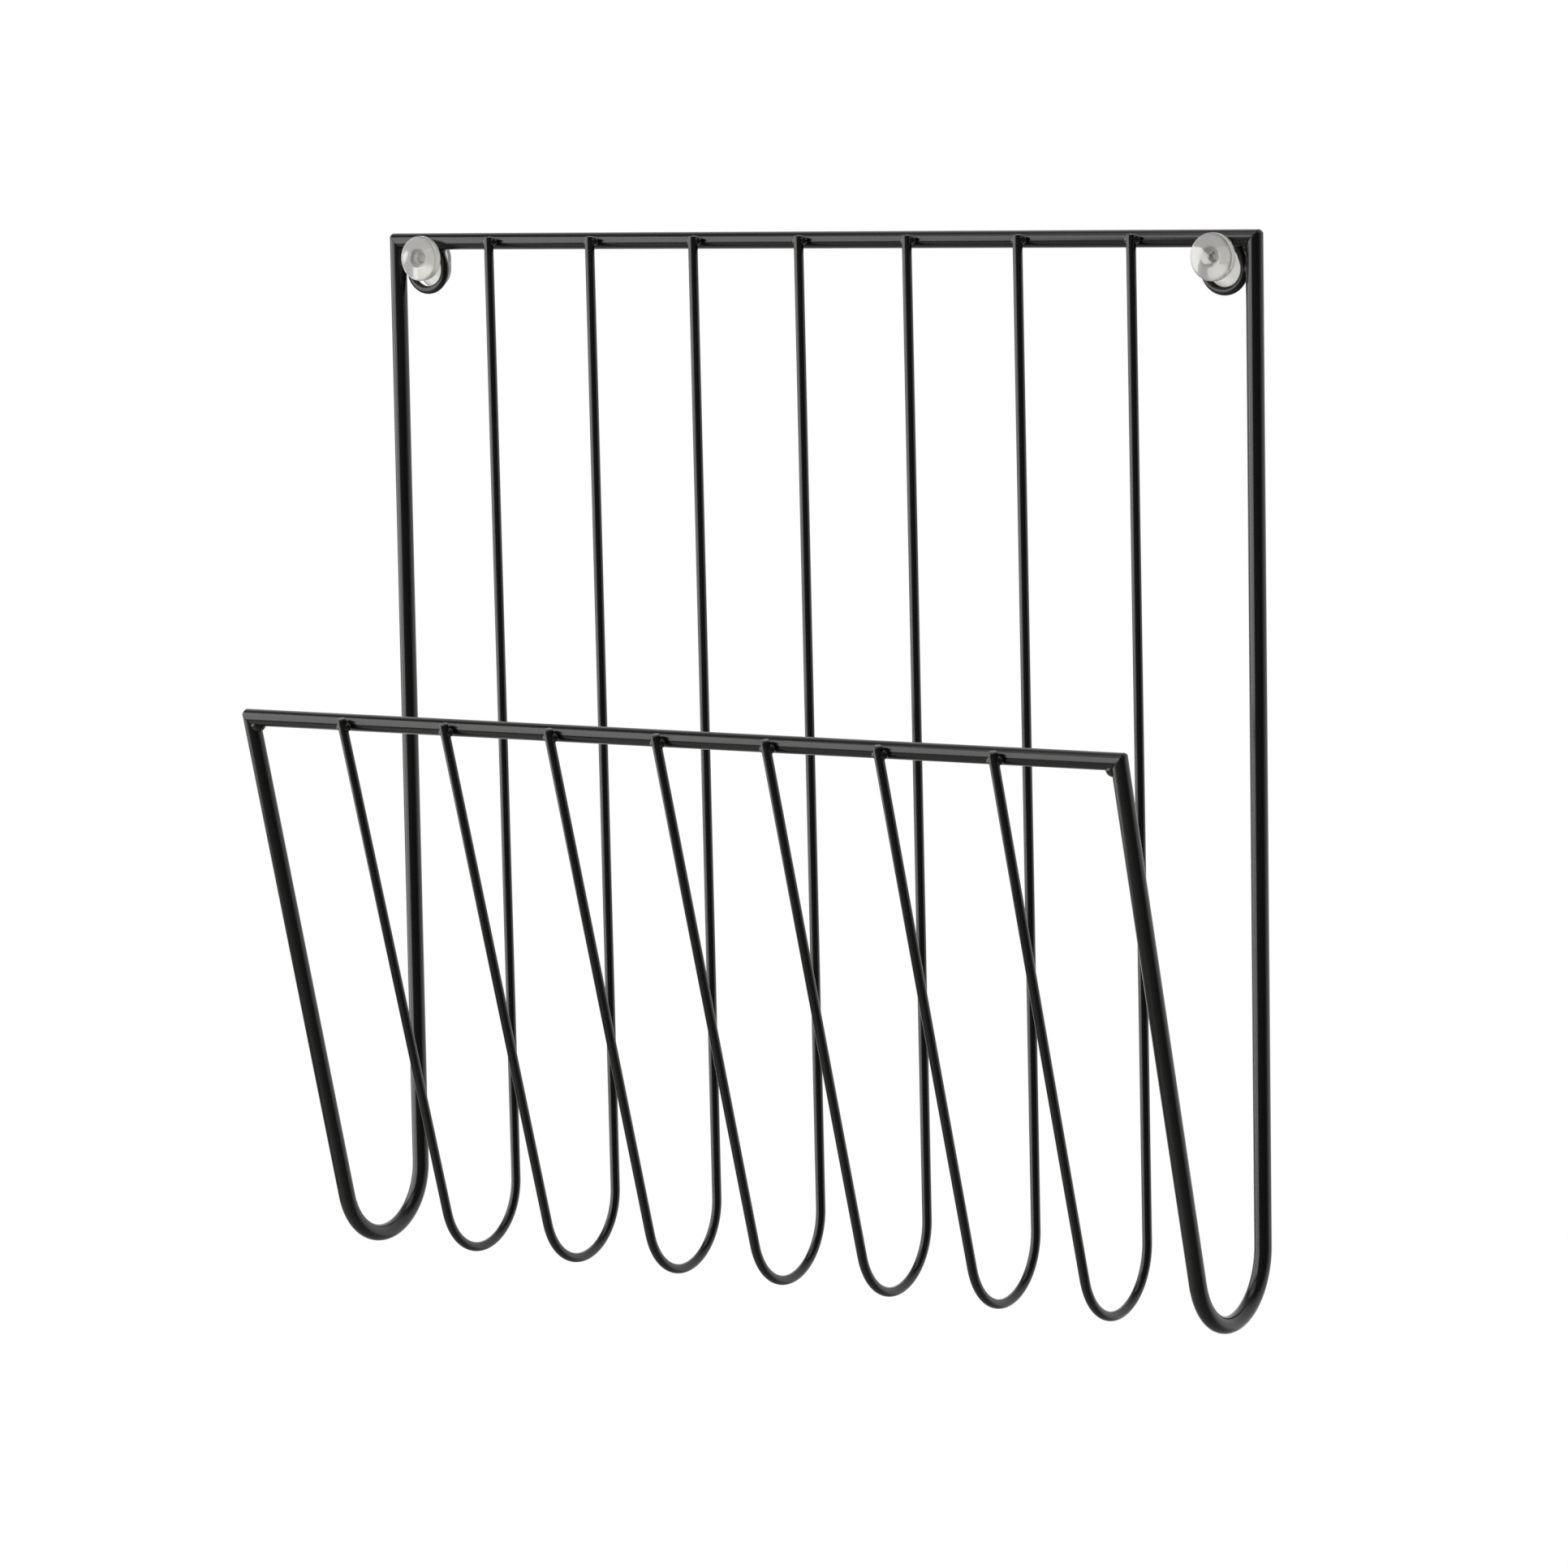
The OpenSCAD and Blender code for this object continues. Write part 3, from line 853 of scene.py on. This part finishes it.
class RACK_OT_stage(bpy.types.Operator):
    """Pale floor, white backdrop, soft lights and camera"""

    bl_idname = "rack.stage"
    bl_label = "Stage"

    def backdrop(self, settings):
        """White to the camera and through plastic, and dim on the rack.

        Reflections show white ahead of the camera and a dim room behind it.
        """
        room_end = -0.1
        white_start = 0.6
        world = bpy.data.worlds.new("Backdrop")
        bpy.context.scene.world = world
        nodes = NodeTree(world)
        path = nodes.add("ShaderNodeLightPath", out="Is Camera Ray")
        clear = (path + path.output("Is Transmission Ray")).at_most_one()
        direction = nodes.add("ShaderNodeTexCoord", out="Generated")
        depth = nodes.add("ShaderNodeSeparateXYZ", None, {"Vector": direction}, out="Y")
        ahead = nodes.ramp(depth, room_end, white_start, settings.room_shade, 1.0)
        gloss = path.output("Is Glossy Ray")
        rest = settings.ambient * (1 - gloss) + ahead * gloss
        strength = clear + (1 - clear) * rest
        light = nodes.add("ShaderNodeBackground", None, {"Color": WHITE, "Strength": strength})
        nodes.add("ShaderNodeOutputWorld", None, {"Surface": light})

    def floor(self, settings):
        """Plain pale floor under the rack, which turns white far from it."""
        mesh = bmesh.new()
        bmesh.ops.create_grid(mesh, x_segments=1, y_segments=1, size=settings.floor_half_width)
        data = bpy.data.meshes.new("Floor")
        mesh.to_mesh(data)
        mesh.free()
        material = bpy.data.materials.new("Pale_floor")
        nodes = NodeTree(material)
        matt = nodes.add("ShaderNodeBsdfDiffuse", None, {"Color": (*settings.floor_colour, 1)})
        white = nodes.add("ShaderNodeEmission", None, {"Color": WHITE, "Strength": 1.0})
        place = nodes.add("ShaderNodeTexCoord", out="Object")
        distance = nodes.add("ShaderNodeVectorMath", {"operation": "LENGTH"}, {0: place}, out="Value")
        glow = nodes.ramp(
            distance, settings.floor_fade_start, settings.floor_fade_end, settings.floor_glow, 1.0)
        depth = nodes.add("ShaderNodeSeparateXYZ", None, {"Vector": place}, out="Y")
        behind = nodes.ramp(depth, 0.0, settings.floor_fade_end, 0.0, 1.0)
        path = nodes.add("ShaderNodeLightPath", out="Is Camera Ray")
        seen = path + path.output("Is Transmission Ray") + path.output("Is Glossy Ray") * behind
        share = seen.at_most_one() * glow
        mixed = nodes.add("ShaderNodeMixShader", None, {0: share, 1: matt, 2: white})
        nodes.add("ShaderNodeOutputMaterial", None, {"Surface": mixed})
        data.materials.append(material)
        floor = bpy.data.objects.new("Floor", data)
        floor.location = UP * settings.floor_height
        bpy.context.scene.collection.objects.link(floor)

    def soft_box(self, name, azimuth, elevation, distance, size, power):
        """Flat soft light that faces the middle of the rack and doesn't show through plastic."""
        low, high = CAD_BOX
        light = bpy.data.lights.new(name, "AREA")
        light.shape = "RECTANGLE"
        light.size, light.size_y = size
        light.energy = power
        lamp = bpy.data.objects.new(name, light)
        toward = around(azimuth, elevation)
        lamp.location = (low + high) / 2 + toward * distance
        lamp.rotation_euler = (-toward).to_track_quat("-Z", "Y").to_euler()
        lamp.visible_transmission = False
        bpy.context.scene.collection.objects.link(lamp)

    def lights(self, settings):
        """Key light at the left, a little above the rack, and a weaker light over it."""
        self.soft_box(
            "Key_light", settings.key_azimuth, settings.key_elevation, settings.light_distance,
            settings.key_size, settings.key_power)
        self.soft_box(
            "Top_light", settings.top_azimuth, settings.top_elevation, settings.light_distance,
            settings.top_size, settings.top_power)

    def camera(self, settings):
        """Camera at the photograph's viewing angle."""
        data = bpy.data.cameras.new("Camera")
        data.lens = settings.camera_lens
        camera = bpy.data.objects.new("Camera", data)
        turn = Matrix.Rotation(settings.camera_yaw, 4, "Z")
        tilt = Matrix.Rotation(math.pi / 2 + settings.camera_pitch, 4, "X")
        roll = Matrix.Rotation(-settings.camera_roll, 4, "Z")
        camera.matrix_world = Matrix.Translation(settings.camera_place) @ turn @ tilt @ roll
        bpy.context.scene.collection.objects.link(camera)
        bpy.context.scene.camera = camera

    def execute(self, context):
        settings = context.scene.rack_stage
        self.backdrop(settings)
        self.floor(settings)
        self.lights(settings)
        self.camera(settings)
        context.scene.view_settings.view_transform = "Standard"
        return {"FINISHED"}


OPERATORS = (
    RACK_OT_side_rods,
    RACK_OT_rails,
    RACK_OT_wires,
    RACK_OT_hanging_eyes,
    RACK_OT_welds,
    RACK_OT_wall_bushes,
    RACK_OT_spacer_plates,
    RACK_OT_stage,
)
GROUPS = {
    "rack_sizes": RackSizes,
    "rack_fittings": FittingSizes,
    "rack_finishes": Finishes,
    "rack_stage": StageSettings,
}


class RACK_PT_builder(bpy.types.Panel):
    """Sizes, finishes and the steps that build the rack"""

    bl_idname = "RACK_PT_builder"
    bl_label = "Wall magazine rack"
    bl_space_type = "VIEW_3D"
    bl_region_type = "UI"
    bl_category = "Rack"

    def draw(self, context):
        for operator in OPERATORS:
            self.layout.operator(operator.bl_idname)
        for name, group in GROUPS.items():
            box = self.layout.box()
            for setting in group.__annotations__:
                box.prop(getattr(context.scene, name), setting)


def register():
    for made in (*GROUPS.values(), *OPERATORS, RACK_PT_builder):
        bpy.utils.register_class(made)
    for name, group in GROUPS.items():
        setattr(bpy.types.Scene, name, PointerProperty(type=group))


def unregister():
    for name in GROUPS:
        delattr(bpy.types.Scene, name)
    for made in (RACK_PT_builder, *reversed(OPERATORS), *reversed(GROUPS.values())):
        bpy.utils.unregister_class(made)


def main():
    register()
    bpy.ops.rack.side_rods()
    bpy.ops.rack.rails()
    bpy.ops.rack.wires()
    bpy.ops.rack.hanging_eyes()
    bpy.ops.rack.welds()
    bpy.ops.rack.wall_bushes()
    bpy.ops.rack.spacer_plates()
    bpy.ops.rack.stage()


if __name__ == "__main__":
    main()
